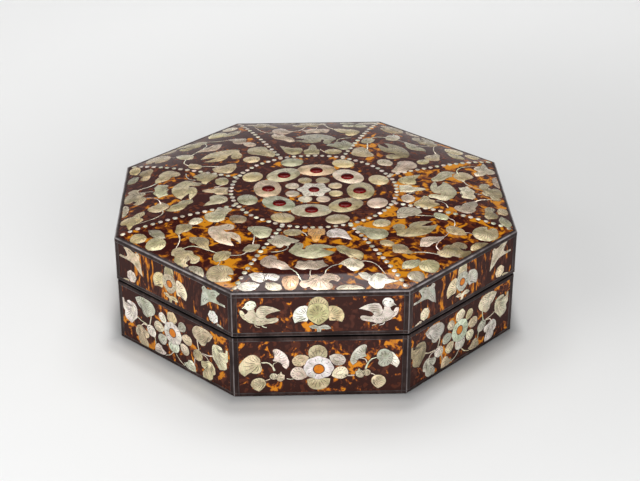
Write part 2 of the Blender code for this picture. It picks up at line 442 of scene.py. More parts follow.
def standing_bird():
    """A bird facing left with a round crested head, wings half open and two short legs."""
    body = outline([
        (-5.4, 6.6), (-9.4, 5.6), (-10.8, 2.4), (-13.6, 0.4), (-11.6, -3.8), (-6, -8.4), (-0.6, -10.6),
        (6.3, -9), (13.8, -7.4), (16, -4.4), (13.2, -2.6), (7.2, -3.6), (4.8, -1.8), (7.5, 0.8),
        (12.5, 2.6), (17.8, 3.8, 1), (12.6, 6.8), (6.5, 8.8), (0.6, 9), (-2.4, 6), (-3.6, 2.8),
        (-4.2, 5)])
    far_wing = outline([(-17.2, 4.4), (-15.6, -2), (-10, -6.9), (-5.4, -8.9, 1), (-8.4, -3),
                        (-12.4, 1.6), (-14.6, 5)])
    head = outline([
        (-2.8, 9.6), (-4.4, 13.4), (-8.4, 14.4), (-12, 12), (-13, 9.4), (-15.4, 6.8, 1), (-12.4, 6.6),
        (-10, 5), (-6.8, 5.4), (-4.6, 6.4)])
    items = [shell(far_wing), shell(body, 1), shell(head, 2, HEAD_COLOUR)]
    for foot in (-5.0, 1.0):
        leg = [(foot, -8.8), (foot + 1.3, -11.2), (foot + 4.8, -12.4)]
        items.append(shell(ribbon(leg, 1.4, 1.0, 3)))
    for y in (7.2, 5.2, 3.2, 1.2):
        items.append(line([(-1, y - 1.2), (5, y - 0.2), (4.0 + y, y - 0.8)], 1))
    for x in (-6.0, -2.5, 1.0, 4.5):
        items.append(short_line((x - 1, -5.2), (x + 0.3, -6.6), (x + 1.6, -5.2), level=1))
    items.append(short_line((5.5, -6), (9.5, -6.2), (13.5, -5.2), level=1))
    items.append(line([(-3.8, 2.4), (-2, -1.8), (2, -3.6), (5, -2)], 1))
    for y in (1.6, -1.4, -4.2):
        items.append(line([(-15.2 - y * 0.4, y), (-11.8 - y * 0.6, y - 2)]))
    return [*items, line(ring_arc(-6, 9.2, 2.3, 150, -120), 2, 0.5), eye(-9.6, 10.4, 1.3, 2),
            short_line((-14.6, 6.8), (-12.4, 7.8), (-11, 7.4), level=2)]


def ring_arc(x, y, radius, first, last):
    """Points along an arc, with its ends in degrees."""
    step = (last - first) / (ARC_POINTS - 1)
    angles = [math.radians(first + step * i) for i in range(ARC_POINTS)]
    return [(x + radius * math.cos(a), y + radius * math.sin(a)) for a in angles]


def flying_bird():
    """A bird seen from above in flight, its head at the upper right and its tail at the left."""
    items = [shell(outline([
        (-18.8, -3.2, 1), (-18, -0.8, 1), (-9.6, -0.2), (-7.6, 2.2), (-12.5, 8.8, 1), (-5, 9.6),
        (1.2, 7.6), (4.2, 7.4), (7, 8.9), (9.9, 6.6), (9.4, 3.4), (10.8, -2), (12.5, -13.1, 1),
        (6.2, -9.2), (0.6, -4.6), (-6.4, -3.4)]))]
    for start, end in (((-7, 7.6), (0, 4.6)), ((-8.4, 5.4), (-2, 2.2)), ((9.4, -8), (4.4, -1.6)),
                       ((7, -7.4), (2, -1.6)), ((-16, -1.9), (-8, -1.7))):
        middle = ((start[0] + end[0]) / 2 + 0.5, (start[1] + end[1]) / 2 + 0.5)
        items.append(short_line(start, middle, end))
    return [*items, eye(7.3, 6.6, 1.1)]


def sprig():
    """A ruffled round bud on a pointed leaf."""
    return [*put(leaf(12.0, 4.6, 2, 0.08, 0.8), -3.5, -5, 192),
            *rayed(ring(12.5, 12.0, 32, 7, 0.05), (0, -1), 4, 0.35, 0.82, 1)]


def lid_tuft():
    """Two pointed leaves on a short stalk."""
    points = outline([
        (0, -11.6), (-3.1, -10), (-8.8, -11.6, 1), (-5.2, -14.2), (-1.6, -14.8), (-1.5, -18.4, 1),
        (2.1, -18.4, 1), (3, -15), (7.5, -15.4), (11.3, -14.2, 1), (8.1, -11), (3.8, -10.4)])
    return [shell(points), short_line((-7.5, -11.9), (-3.5, -12.3), (0, -13.4)),
            short_line((9.6, -13.4), (5.4, -12.8), (1.6, -13.6)), line([(0.4, -13.6), (0.4, -17.6)])]


def lid_side_petals(drop):
    """The quarter-round petals either side of a lid flower."""
    points = outline([(-8.1, 7.2), (-13.1, 8.5), (-19.2, 5), (-22, -1.9), (-20.2, -8.2, 1),
                      (-14.4, -6.5), (-9, -6)])
    half = rayed(points, (-8.5, -1.5), 2, 0.25, part=slice(4, 22))
    return [*put(half, 0, drop), *put(half, 0.4, drop, 0, 1.0, True)]


def lid_front_flower():
    """The middle of a lid side with birds: a hooded flower without a disc."""
    hood = outline([(-7.8, 6.5), (-8.2, 10.5), (-5, 15.4), (0.6, 17.3), (6.4, 14.2), (8.9, 8.5),
                    (7.5, 5)])
    middle = outline([(0, 11), (6.5, 9.3), (9.5, 3), (8.9, -3), (5, -7.6), (0, -10.8, 1), (-5, -7.6),
                      (-9.5, -2.4), (-9.7, 3.4), (-6.5, 9.3)])
    return [*rayed(hood, (0, 6), 2, 0.45, level=1, tint=GOLDEN, part=slice(2, 22)),
            *lid_side_petals(0), *rayed(middle, (0, -1), 3, 0.3, 0.84, 2, GOLDEN), *lid_tuft()]


def lid_disc_flower():
    """The middle of the other lid sides: a flower with an amber disc."""
    top = outline([(-5.2, 5.5), (-6.4, 12), (-4.2, 16.8), (0.8, 18.2), (5, 16), (5.8, 11), (4.6, 5.5)])
    middle = outline([(0, 10), (5.6, 8.4), (8.6, 3), (8.2, -3), (4.6, -7.4), (0, -9.8, 1),
                      (-4.6, -7.4), (-8.4, -2.4), (-8.7, 3.2), (-5.8, 8.4)])
    return [*rayed(top, (-0.4, 4), 2, 0.45, 0.88, 1, part=slice(2, 22)), *lid_side_petals(-1),
            *rayed(middle, (0, 0.2), 3, 0.55, level=2), *amber_disc(0, 0, 7.0, 3), *lid_tuft()]


def loose_petals(rows):
    """Loose petals from rows of a place, a width, a height and a turn."""
    items = []
    for x, y, width, height, turn in rows:
        items += put(eyed_petal(width, height), x, y, turn)
    return items


def body_front_flower():
    """The large flower on a body side with birds above it."""
    return [*loose_petals(((-17, 6.6, 11.8, 15, -66), (14.4, 7.2, 11.8, 15, 64),
                           (-18.2, -7.2, 13, 15, -112), (16.4, -7, 13, 15, 112))),
            *rayed(ring_at(-2.2, 13.2, 17.0, 17.0, 30), (-2.2, 6), 3, 0.3),
            line(ring_arc(-2.2, 10.5, 5.2, 20, 160)), *put(half_round(20.5, 12.0), -1.6, -17.4),
            *rayed(ring_at(-1.6, -1.2, 26.0, 23.0, 40, 8, 0.035), (-1.6, -2), 4, 0.55, 0.9, 1,
                   FRONT_DISC_COLOUR),
            *amber_disc(-1.6, -2.4, 9.0, 2)]


def body_side_flower():
    """The large flower with loose oval petals on the other body sides."""
    return [*loose_petals(((-12.6, 10.4, *SMALL_PETAL, 222), (12.3, 11, *SMALL_PETAL, 138),
                           (-17.8, -0.4, *LARGE_PETAL, 270), (18.2, 0.8, *LARGE_PETAL, 90),
                           (-13.6, -11.2, *LOW_PETAL, 308), (14.4, -10.4, *LOW_PETAL, 52))),
            *rayed(ring_at(-0.2, 15.4, 13.2, 12.6, 26, 5, 0.05), (-0.2, 8), 3, 0.45, 0.88),
            *rayed(ring_at(0.7, -13, 14.5, 14.0, 26), (0.7, -6), 3, 0.4, 0.88, 0, FOOT_PETAL_COLOUR),
            *rayed(ring(23.5, 22.5, 40, 8, 0.025), (0, 0), 4, 0.52, 0.9, 1, SIDE_DISC_COLOUR),
            *amber_disc(-0.4, 0.4, 8.4, 2)]


def put(items, x, y, turn=0.0, size=1.0, flip=False):
    """The items of a motif at a place. The turn is in degrees."""
    return [item.moved(x, y, math.radians(turn), size, flip) for item in items]


def stem(points, start=1.2, end=0.9):
    """A thin curved stem."""
    return [shell(ribbon(points, start, end), 0, STEM_COLOUR)]


# Motifs of the lid's top. Their first measure runs across a facet and the second outwards.

def outwards(points):
    """Points of a facet with their second measure turned outwards."""
    return [(p[0], -p[1], *p[2:]) for p in points]


def facet_pieces(rows, tinted=True):
    """Rayed pieces from rows of an outline, a root and, where they differ, a step and a tint."""
    items = []
    for points, root, *rest in rows:
        items += piece(outwards(points), outwards([root])[0], *rest)
    for item in items:
        item.tint = item.tint if tinted else None
    return items


def facet_line(points, width=LINE_WIDTH):
    return line(outwards(points), 0, width, 2)


def facet_stems(rows):
    """Stems from rows of a route and, where they differ, a width at each end."""
    items = []
    for points, *widths in rows:
        items += stem(outwards(points), *(widths or FACET_STEM_WIDTHS))
    return items


def feathered(points, strokes, eye_place, curl):
    """A bird on the top: its outline, long feather strokes, an eye and the curl of its head."""
    items = [shell(outline(outwards(points)))]
    for stroke in strokes:
        items.append(facet_line(stroke))
        for x, y in stroke[:-1]:
            items.append(facet_line([(x - 1.2, y + 2.4), (x + 0.3, y + 3.6), (x + 1.8, y + 2.4)]))
    return [*items, eye(eye_place[0], -eye_place[1], 1.6),
            line(ring_arc(curl[0], -curl[1], 3.0, 130, -110))]


BIRD_ONE = (
    [(-26, 120.5), (-23.5, 115), (-21, 110.5), (-20, 107.5), (-16.5, 106), (-13.2, 108.2),
     (-12.6, 113), (-14, 117.5), (-11.6, 118.6, 1), (-10.6, 113.5), (-6, 110.8), (2, 110), (9, 112),
     (17.5, 115.8, 1), (11, 117), (3.5, 117.4, 1), (8, 120.6), (15.5, 123.6, 1), (11, 127.8),
     (3, 132), (-8, 134), (-17, 130.8), (-23, 126)],
    [[(-20, 119), (-14, 122.5), (-6, 124)], [(-6, 114), (2, 113), (10, 114.4)],
     [(-5, 119), (1, 120.6), (7, 124.4)]], (-17, 109.5), (-17.2, 111.2))
BIRD_TWO = (
    [(-16.5, 118), (-12.6, 113), (-10.6, 108), (-8, 104), (-3, 102.4), (1.5, 104.8), (2.6, 109),
     (-0.4, 113), (-3.6, 114.4, 1), (1, 115.4), (6, 112.2), (14, 112.4), (21, 116.4), (27.5, 123, 1),
     (20, 121.4), (12.5, 121, 1), (17, 125), (25.5, 129, 1), (19, 132), (8, 134), (-4, 130.6),
     (-12, 125.4)],
    [[(-9, 119), (-3, 121.5), (5, 125)], [(5, 116), (12, 115.4), (19, 118.6)],
     [(6, 120.6), (10, 124), (17, 128)]], (-5, 106.4), (-4.4, 108.4))

# Pieces of the facets that face along the axes, from the middle of the lid outwards
ONE_INNER = (
    ([(-30, 87), (-27, 82), (-19, 81), (-14, 84), (-14, 90), (-20, 93.5), (-27, 92)], (-21, 82)),
    ([(-8, 80.5, 1), (7.5, 80.5, 1), (7, 91), (3, 94), (2, 101), (-1.5, 105.5), (-5, 100),
      (-5.5, 95), (-8.5, 91)], (0, 82), 3, (220, 158, 72)),
    ([(8, 89, 1), (12, 82.5), (20, 80.5), (26, 86), (28, 93), (31, 103.5, 1), (24, 100.5),
      (19, 97.5, 1), (12, 98), (8.5, 95)], (14, 84), 3, (226, 208, 206)),
    ([(-36, 91, 1), (-30, 92.5), (-24, 97), (-15, 102, 1), (-18, 106), (-23, 106.5, 1),
      (-26, 111.5), (-30, 110.5, 1), (-33.5, 115), (-38, 111), (-44, 105, 1), (-41, 98)], (-36, 95)))
ONE_MIDDLE = (
    ([(16, 113.5, 1), (22, 112.5), (27, 117), (34, 120.5), (39, 126), (39.5, 132), (36.5, 139, 1),
      (32, 134.5), (27, 134, 1), (24, 128), (19, 124.5), (16.5, 119)], (19, 115.5)),
    ([(-17, 137.5), (-12, 138.8), (-8, 136.5), (-3, 138), (3.5, 136.2, 1), (5, 141), (9, 146, 1),
      (3, 148.5), (-3, 151.8), (-9, 150), (-15, 151), (-21.5, 147.5, 1), (-19.5, 142)],
     (-6, 138.5), 2),
    ([(16.5, 143.5, 1), (21, 138), (27, 134.5), (33, 137), (38.5, 144), (36, 151), (30, 154.5),
      (25, 151.5), (22, 147)], (28, 137)),
    ([(-51, 141), (-49, 133), (-42, 127.5), (-36.5, 130), (-36, 136, 1), (-30.5, 138.5),
      (-27, 143.5), (-24, 150, 1), (-32, 151), (-38, 148, 1), (-44, 148)], (-44, 131)),
    ([(-61, 157.5, 1), (-55, 154.5), (-46, 156), (-38, 156.5), (-33.5, 160.5), (-37, 166),
      (-44, 163.5, 1), (-50, 167.5), (-57, 165.5), (-59, 161)], (-44, 163), 2),
    ([(-71, 172.5, 1), (-66, 168), (-58, 167), (-50.5, 170, 1), (-55, 176), (-62, 178.2),
      (-68, 176.5)], (-53, 171), 2),
    ([(-46, 167.5, 1), (-38, 168), (-32.5, 172.5), (-34, 178), (-42, 178), (-47, 173.5)],
     (-44, 169), 2))
ONE_FRONT = (
    ([(-31.5, 162.5), (-25, 158.8), (-18.2, 160.5), (-17.8, 169), (-21, 177), (-28, 178.2),
      (-31.6, 172)], (-25, 160), 3, (226, 182, 146)),)
ONE_OUTER = (
    ([(-17.5, 171), (-15.5, 166.5), (-10.5, 165.5), (-9, 161), (-4, 158.5), (0, 161, 1), (5, 157.5),
      (11, 158), (16, 160.5), (17.5, 165), (14.5, 168.5), (10.5, 166.5), (7.5, 168.8, 1),
      (10.5, 172.5), (9, 177), (1, 178.2), (-6, 177.5), (-9, 174.5, 1), (-14, 176)], (-1, 163)),
    ([(32.5, 157, 1), (39, 156), (44, 160.5, 1), (49, 156.8), (55, 160), (58, 165, 1), (67, 169, 1),
      (60, 171.5), (55, 172.5, 1), (53.5, 177.5), (46.5, 178.2), (42, 173.5), (41, 168, 1),
      (36, 164)], (46, 161.5), 2),
    ([(13, 176.5), (18, 172.5), (27, 172), (35, 174.5), (38, 178.2, 1), (25, 178.3), (15, 178.3)],
     (24, 173.5)))
ONE_STEMS = (
    ([(-41, 122), (-33, 121), (-27.5, 117), (-26.5, 112)],),
    ([(-25, 149), (-20, 155), (-17, 163), (-15, 167)], 1.6, 1.2),
    ([(21, 143), (12, 146), (7, 151.5), (4, 158.5)],),
    ([(-7, 151.5), (-8.5, 156), (-8, 161)], 1.1, 0.8),
    ([(33, 140.5), (42, 140), (49, 144.5), (53, 152), (56, 160)],),
    ([(-14, 86), (-10.5, 90), (-9, 94)], 1.4, 1.0))

# Pieces of the facets between them
TWO_INNER = (
    ([(-17.5, 91), (-13, 85.5), (-6, 84.5), (-0.5, 89.5), (-1, 96), (-7, 99.5), (-14, 97)],
     (-9, 86)),
    ([(-33, 82.5, 1), (-27, 80.5), (-24, 88), (-20, 96), (-16.5, 102), (-19, 109), (-26, 112.5),
      (-34, 110), (-38.5, 104), (-36, 96), (-37, 89)], (-29, 86)),
    ([(9, 96, 1), (14, 90), (20, 86), (28, 84.5), (33, 90), (36.5, 98), (33, 105, 1), (26, 104.5),
      (19, 101.5, 1), (13, 100)], (15, 94)))
TWO_OUTER = (
    ([(-17.5, 143.5, 1), (-11, 138.5), (-4, 135.5), (3, 138), (8, 143), (14, 147, 1), (5, 149.5),
      (-4, 148), (-11, 148.5)], (-11, 142.5), 2),
    ([(21, 145), (25, 139.5), (30, 138), (34.5, 142.5), (36, 150), (32, 158, 1), (27, 156),
      (22.5, 151)], (28, 140)),
    ([(33.5, 119, 1), (40.5, 113), (45.5, 121), (43.5, 128), (37.5, 130.5, 1), (34.5, 125)],
     (40, 115.5)),
    ([(-39.5, 118), (-35, 113), (-29.5, 115.5), (-28.5, 122), (-31, 127, 1), (-36.5, 126.5)],
     (-34, 115)),
    ([(-42, 135), (-38, 129.5), (-33, 126.5), (-27, 130), (-26, 136.5), (-28.5, 141, 1),
      (-28, 147.5, 1), (-34, 145.5), (-38, 140.5, 1)], (-33, 129)),
    ([(-57, 157, 1), (-49, 151.5), (-41, 152.5), (-33, 157.5, 1), (-38, 161.5), (-46, 162.5),
      (-52, 160.5)], (-52, 157)),
    ([(-44, 166), (-40, 161), (-33, 159.5), (-26, 163), (-23.5, 169), (-28, 175), (-36, 177.5),
      (-42, 173.5)], (-33, 162.5), 3, (206, 186, 140)),
    ([(-62.5, 169), (-57, 164.5), (-49.5, 166), (-46.5, 171.5), (-51, 177.5), (-59, 177.5)],
     (-54, 166.5)),
    ([(-14.5, 163.5), (-11, 158.5), (-5, 160, 1), (1, 157), (7, 159.8, 1), (14, 160), (18, 164.5),
      (17.5, 169.5), (13, 171.5, 1), (9.5, 167.5, 1), (9.5, 172.5), (15, 175), (12, 178.2),
      (4, 178.2), (-2, 176.5, 1), (-5, 172), (-9.5, 171.5), (-13, 168)], (0, 162)),
    ([(16, 176), (20, 171.5), (28, 170.5), (34, 174), (38, 178.2, 1), (26, 178.3)], (26, 172.5)),
    ([(33.5, 166), (37, 159.5), (44, 156), (52, 157), (57.5, 161, 1), (54, 164.5, 1), (61.5, 167),
      (58.5, 173), (51, 177.8), (42, 177.5), (36, 172.5)], (52, 165.5), 2))
TWO_STEMS = (
    ([(-28, 146.5), (-21, 152), (-16, 158.5), (-13, 164)], 1.5, 1.1),
    ([(-9, 161), (-6, 153.5), (0, 150), (9, 148.5), (22, 146)],),
    ([(25, 104), (31, 111), (36, 117)], 1.6, 1.1),
    ([(42, 128.5), (41, 136), (33.5, 142.5)], 1.4, 1.1),
    ([(33, 154), (36, 157.5), (37, 162)], 1.0, 0.8))


def facet_design_one(front):
    """Pattern of the facets that face along the axes."""
    items = [*facet_pieces(ONE_INNER, front), *feathered(*BIRD_ONE), *facet_pieces(ONE_MIDDLE),
             facet_line([(-50, 153), (-46, 160), (-51, 170)], 0.8),
             facet_line([(-42, 154), (-47, 161), (-42, 170)], 0.8)]
    if front:
        items += facet_pieces(ONE_FRONT)
    items += [*facet_pieces(ONE_OUTER), line(ring_arc(13, -163.6, 2.6, 60, -150)),
              *facet_stems(ONE_STEMS)]
    # Painted sheen: untinted shells beyond the front row of the front facet take the sheen tints
    for item in items:
        untinted = front and item.kind == "shell" and not item.tint
        if untinted and min(y for _, y in item.points) < -FRONT_ROW:
            item.tint = chance.choice(SHEEN_TINTED_SHELLS)
    return items


def facet_design_two():
    """Pattern of the facets between them."""
    return [*facet_pieces(TWO_INNER), *feathered(*BIRD_TWO), *facet_pieces(TWO_OUTER),
            line(ring_arc(12.6, -165.4, 2.8, 80, -120)), *facet_stems(TWO_STEMS)]


def medallion():
    """The flower rings in the middle of the lid, in the lid's own plan."""
    disc = outline([(-16.5, 0.5), (-13, 8.5), (-4, 12.6), (6, 12.4), (14, 7.5), (16.6, -0.5),
                    (12.5, -9), (4, -12.8), (-5, -12.8), (-13, -8.5)])
    items = rayed(ring(29.0, 29.0, 60, 6, 0.11, 0.5), (0, 0), 4, 0.45, 0.88, 1, LOBES_COLOUR)
    for k in range(SIDES):
        step = 2.0 * math.pi * k / SIDES
        petal = shell(ring(13.6, 13.6, 22, 3, 0.02))
        items += polar([petal], PETAL_DISTANCE, step + HALF_SIDE_ANGLE - PETAL_TURN)
        lean = PETAL_LEAN[k]
        leant = [(x * (1.10 + 0.02 * lean), y + 0.02 * lean * x) for x, y in disc]
        large = shell(leant, 0, TOP_SHELLS[DISC_SHELLS[k]])
        items += polar([large], DISC_DISTANCE, step + CABOCHON_RING_TURN)
        oval = shell(ring(22.6, 19.4, 30, 2, 0.01))
        items += polar([oval], OVAL_DISTANCE, step + HALF_SIDE_ANGLE - OVAL_TURN)
    for k in range(RING_DOTS):
        items += polar([dot()], MEDALLION_RADIUS + chance.uniform(-DOT_DRIFT, DOT_DRIFT),
                       2.0 * math.pi * k / RING_DOTS)
    for k in range(SIDES):
        hip = 2.0 * math.pi * k / SIDES + HALF_SIDE_ANGLE
        for i in range(HIP_DOTS):
            distance = HIP_DOT_START + (HIP_DOT_END - HIP_DOT_START) * i / (HIP_DOTS - 1)
            items += polar([dot()], distance + chance.uniform(-DOT_DRIFT, DOT_DRIFT), hip)
    return items


def dot():
    """One small round piece of the dotted lines."""
    size = chance.uniform(4.6, 5.2)
    light = chance.uniform(0.82, 1.04)
    return shell(ring(size, size, 14), 0, tuple(c * light for c in DOT_COLOUR))


def polar(items, distance, angle):
    """The items with their upper side turned away from the middle of the lid."""
    return [item.moved(distance * math.cos(angle), distance * math.sin(angle),
                       angle - math.pi / 2.0, 1.0, False) for item in items]


def facet_to_plan(items, side):
    """The items of a facet in the lid's own plan."""
    turn = side_angle(side) + math.pi / 2.0
    return [item.moved(0.0, 0.0, turn, 1.0, False) for item in items]


# Layouts of the sides. The middle of a side is the origin.

def arrange(*rows):
    """Motifs with their places and, where a motif is mirrored, its turn, size and flip."""
    return [item for motif, *place in rows for item in put(motif, *place)]


def lid_side_birds():
    return arrange((lid_front_flower(), -1.9, 0), (standing_bird(), -51.3, 0),
                   (standing_bird(), 49.4, 0.8, *MIRRORED))


def lid_side_flight():
    return arrange((lid_disc_flower(), -2.9, 0.8), (flying_bird(), -51.3, 7.6),
                   (flying_bird(), 49, 7.6, *MIRRORED), (sprig(), -54, -10.5),
                   (sprig(), 52, -10.5, *MIRRORED))


def body_side_broad():
    """Body side with broad leaves, below the standing birds."""
    items = []
    for row in (([(-51, 4.9), (-45, 4.5), (-41.4, 1), (-39.5, -4)], 1.2, 2.2),
                ([(-41, 0.5), (-40, 3.5), (-37, 5)],),
                ([(-43.5, -12), (-48, -14)],),
                ([(-29.5, -11.9), (-26, -12.4), (-23, -12)],),
                ([(21, -9.7), (25, -9.9), (29.5, -9.7)], 1.5, 1.5),
                ([(39, -3.5), (41, 2.4), (44, 6.5), (49.5, 8.3)], 2.0, 1.1),
                ([(40, 3), (38.5, 6.5), (34, 7.7)],),
                ([(43.7, -7.7), (48, -9.7)],)):
        items += stem(*row)
    leaves = arrange((lobed_leaf(), -60.8, 3), (double_leaf(), 60.5, 4.5), (fan_leaf(), -34.2, 8.5),
                     (fan_leaf(), 33, 11.5, *MIRRORED), (bud_pair(), -39.4, -9.5),
                     (bud_pair(), 38.8, -7, *MIRRORED), (round_leaf(13.2), -53.8, -17.2),
                     (round_leaf(13.2), 50.5, -15.8, *MIRRORED))
    return [*items, *leaves, *body_front_flower()]


def body_side_vine():
    """Body side with vines that join a flower to broad leaves."""
    half = []
    for row in (([(-51, 1.2), (-45, -1), (-36.5, -2)], 1.5, 1.2),
                ([(-45.8, -7), (-42.5, -3.6), (-36.5, -2.8)], 1.3, 1.1),
                ([(-31, 9.8), (-31.8, 4.6), (-33.4, -1)], 1.2, 1.6),
                ([(-27.6, -9.8), (-26.6, -14), (-26.6, -18)], 1.3, 1.1),
                ([(-13.8, -24.6), (-7.5, -21.8), (-2.4, -16.9)], 1.3, 1.1)):
        half += stem(*row)
    for row in (
            ([(-37.4, -4), (-33.5, -0.4), (-28.5, -1.4), (-25.4, -6), (-27, -11), (-32.5, -12, 1),
              (-37, -9)], (-31, -1.5)),
            ([(-28.3, -25.6, 1), (-27.2, -19.2), (-23, -15.4), (-18.6, -16.4, 1), (-16.6, -19.4),
              (-12.2, -21.9, 1), (-15.2, -25), (-21.2, -26.2)], (-16, -20.5)),
            ([(-52.2, 21, 1), (-46, 24.4), (-37.5, 25), (-30, 23.6), (-25, 17.8), (-26.6, 12.2),
              (-31, 9, 1), (-36.2, 5.6, 1), (-40.6, 7), (-43.5, 11.6, 1), (-48, 15)],
             (-46, 20), 2, None, -0.06),
            ([(-51.6, 12.8), (-57.8, 14.8), (-62.6, 14), (-64.6, 10.4, 1), (-67.2, 11, 1),
              (-67.6, 14.4, 1), (-70.2, 14.2, 1), (-70.2, 4, 1), (-67.8, 1.2, 1), (-67.6, -5.4),
              (-59.1, -9.4, 1), (-54.1, -4.1), (-50.2, -0.4, 1), (-49.7, 7.1)],
             (-54, 9), 2, None, 0.05),
            ([(-53.6, -13), (-51.5, -8.4), (-46.5, -6), (-41.4, -8, 1), (-35.6, -10.4),
              (-36, -15.2), (-39.4, -17, 1), (-36.6, -21.8), (-37.2, -27, 1), (-44, -26.9),
              (-49.5, -23.5), (-50.4, -19, 1), (-53.4, -17)], (-46.5, -8.5), 2)):
        half += piece(*row)
    return [*half, *arrange((half, -1.6, 0, *MIRRORED), (body_side_flower(), -2.4, 3))]


# Meshes

def flat_face(bm, points, height):
    """A level face that looks upwards."""
    face = bm.faces.new([bm.verts.new((x, y, height)) for x, y in points])
    face.normal_update()
    if face.normal.z < 0.0:
        face.normal_flip()
    return face


def build_inlay(name, items, place, palette, cuts):
    """One mesh from flat items. Each becomes a thin closed piece with a dark seam around it."""
    bm = bmesh.new()
    part = bm.faces.layers.int.new("part")
    rim = bm.faces.layers.int.new("rim")
    for index, item in enumerate(items):
        flat_face(bm, item.points, 0.0)[part] = index
    inset = bmesh.ops.inset_individual(bm, faces=bm.faces[:], thickness=INLAY_RIM,
                                       use_even_offset=True)
    rims = set(inset["faces"])
    for face in bm.faces:
        face[rim] = 1 if face in rims else 0
        level = items[face[part]].level
        base = INLAY_SEAM + (INLAY_LIFT + (level - 1) * INLAY_LEVEL if level else 0.0)
        for vert in face.verts:
            if face in rims and vert.co.z == 0.0:
                vert.co.z = base
    for face in bm.faces:
        if not face[rim]:
            for vert in face.verts:
                vert.co.z = INLAY_LIFT + items[face[part]].level * INLAY_LEVEL
    bmesh.ops.triangulate(bm, faces=bm.faces[:])
    cut_flat(bm, cuts)
    bm.verts.index_update()
    tops = bm.faces[:]
    edges = [edge for edge in bm.edges if edge.is_boundary]
    loops = [(edge.link_loops[0].vert, edge.link_loops[0].link_loop_next.vert,
              edge.link_faces[0][part]) for edge in edges]
    twins = [bm.verts.new((v.co.x, v.co.y, -INLAY_DEPTH)) for v in bm.verts[:]]
    for face in tops:
        under = bm.faces.new([twins[v.index] for v in reversed(face.verts)])
        under[part] = face[part]
        under[rim] = 1
    for start, end, index in loops:
        wall = bm.faces.new((end, start, twins[start.index], twins[end.index]))
        wall[part] = index
        wall[rim] = 1
    colours = [item_colour(item, palette) for item in items]
    grains = [(chance.uniform(0, 2 * math.pi), chance.uniform(-9, 9), chance.uniform(-9, 9))
              for _ in items]
    return finish_flat(bm, name, place, colours, grains, [bow_of(item) for item in items])


def bow_of(item):
    """Middle and reach of the slight bow a piece of shell has, in millimetres."""
    count = len(item.points)
    x = sum(p[0] for p in item.points) / count
    y = sum(p[1] for p in item.points) / count
    reach = sum(math.hypot(p[0] - x, p[1] - y) for p in item.points) / count
    way = chance.uniform(0, 2 * math.pi)
    off = reach * chance.uniform(0.0, BOW_DRIFT)
    return x + off * math.cos(way), y + off * math.sin(way), reach


def build_lines(name, items, place, cuts):
    """One mesh of the engraved lines: thin dark strips just over the pieces they are cut in."""
    bm = bmesh.new()
    for item in items:
        flat_face(bm, item.points, INLAY_LIFT + item.level * INLAY_LEVEL + LINE_LIFT)
    bmesh.ops.triangulate(bm, faces=bm.faces[:])
    cut_flat(bm, cuts)
    return finish_flat(bm, name, place)


def cut_flat(bm, cuts):
    """Cuts the flat pieces where the surface below them bends."""
    for point, normal in cuts:
        geometry = bm.verts[:] + bm.edges[:] + bm.faces[:]
        bmesh.ops.bisect_plane(bm, geom=geometry, dist=0.00001, plane_co=point, plane_no=normal)
    bmesh.ops.triangulate(bm, faces=bm.faces[:])


def item_colour(item, palette):
    """Colour of one piece of shell, a little unlike its neighbours."""
    if item.kind == "amber":
        return linear(AMBER_COLOUR)
    if item.tint:
        base = [c * chance.uniform(0.96, 1.04) for c in item.tint]
    else:
        base = chance.choices(palette, SHELL_SHARES)[0]
        light = chance.uniform(0.85, 1.12)
        base = [c * light * chance.uniform(0.985, 1.015) for c in base]
    return linear([min(250.0, c) for c in base])


def linear(colour):
    """A display colour of 0 to 255 as linear light."""
    return tuple(((c / 255.0 + 0.055) / 1.055) ** 2.4 if c > 10.3 else c / 255.0 / 12.92
                 for c in colour)


def values_of(rows, field, kind=int, width=1):
    """One field of all rows of a mesh."""
    values = np.zeros(len(rows) * width, kind)
    rows.foreach_get(field, values)
    return values


def finish_flat(bm, name, place, colours=None, grains=None, bows=None):
    """Writes a flat mesh, gives each piece its colour and grain, and lays it on the box."""
    mesh = bpy.data.meshes.new(name)
    bm.to_mesh(mesh)
    bm.free()
    flat = values_of(mesh.vertices, "co", float, 3).reshape(-1, 3)
    if colours:
        totals = values_of(mesh.polygons, "loop_total")
        corner_vertex = values_of(mesh.loops, "vertex_index")
        corner_part = np.repeat(values_of(mesh.attributes["part"].data, "value"), totals)
        corner_rim = np.repeat(values_of(mesh.attributes["rim"].data, "value"), totals)
        tint = np.array(colours)[corner_part]
        tint[corner_rim == 1] = linear(SEAM_COLOUR)
        turn = np.array(grains)[corner_part]
        x = flat[corner_vertex, 0] * MM
        y = flat[corner_vertex, 1] * MM
        cosine = np.cos(turn[:, 0])
        sine = np.sin(turn[:, 0])
        grain = np.stack([x * cosine - y * sine + turn[:, 1], x * sine + y * cosine + turn[:, 2],
                          flat[corner_vertex, 2] * MM, np.ones(len(x))], 1)
        bow = np.array(bows)[corner_part] * MM
        spread = 1.0 / np.sqrt(bow[:, 2])
        bow = np.stack([(x - bow[:, 0]) * spread, (y - bow[:, 1]) * spread, np.zeros(len(x)),
                        np.ones(len(x))], 1)
        for layer, values in (("tint", np.hstack([tint, np.ones((len(tint), 1))])),
                              ("grain", grain), ("bow", bow)):
            attribute = mesh.attributes.new(layer, "FLOAT_COLOR", "CORNER")
            attribute.data.foreach_set("color", values.astype(np.float32).ravel())
        mesh.attributes.remove(mesh.attributes["part"])
        mesh.attributes.remove(mesh.attributes["rim"])
    mesh.vertices.foreach_set("co", (place(flat) * MM).astype(np.float32).ravel())
    mesh.update()
    return link(name, mesh)


def link(name, data, place=(0.0, 0.0, 0.0), turn=(0.0, 0.0, 0.0)):
    """A new object in the scene."""
    thing = bpy.data.objects.new(name, data)
    thing.location = place
    thing.rotation_euler = turn
    bpy.context.scene.collection.objects.link(thing)
    return thing


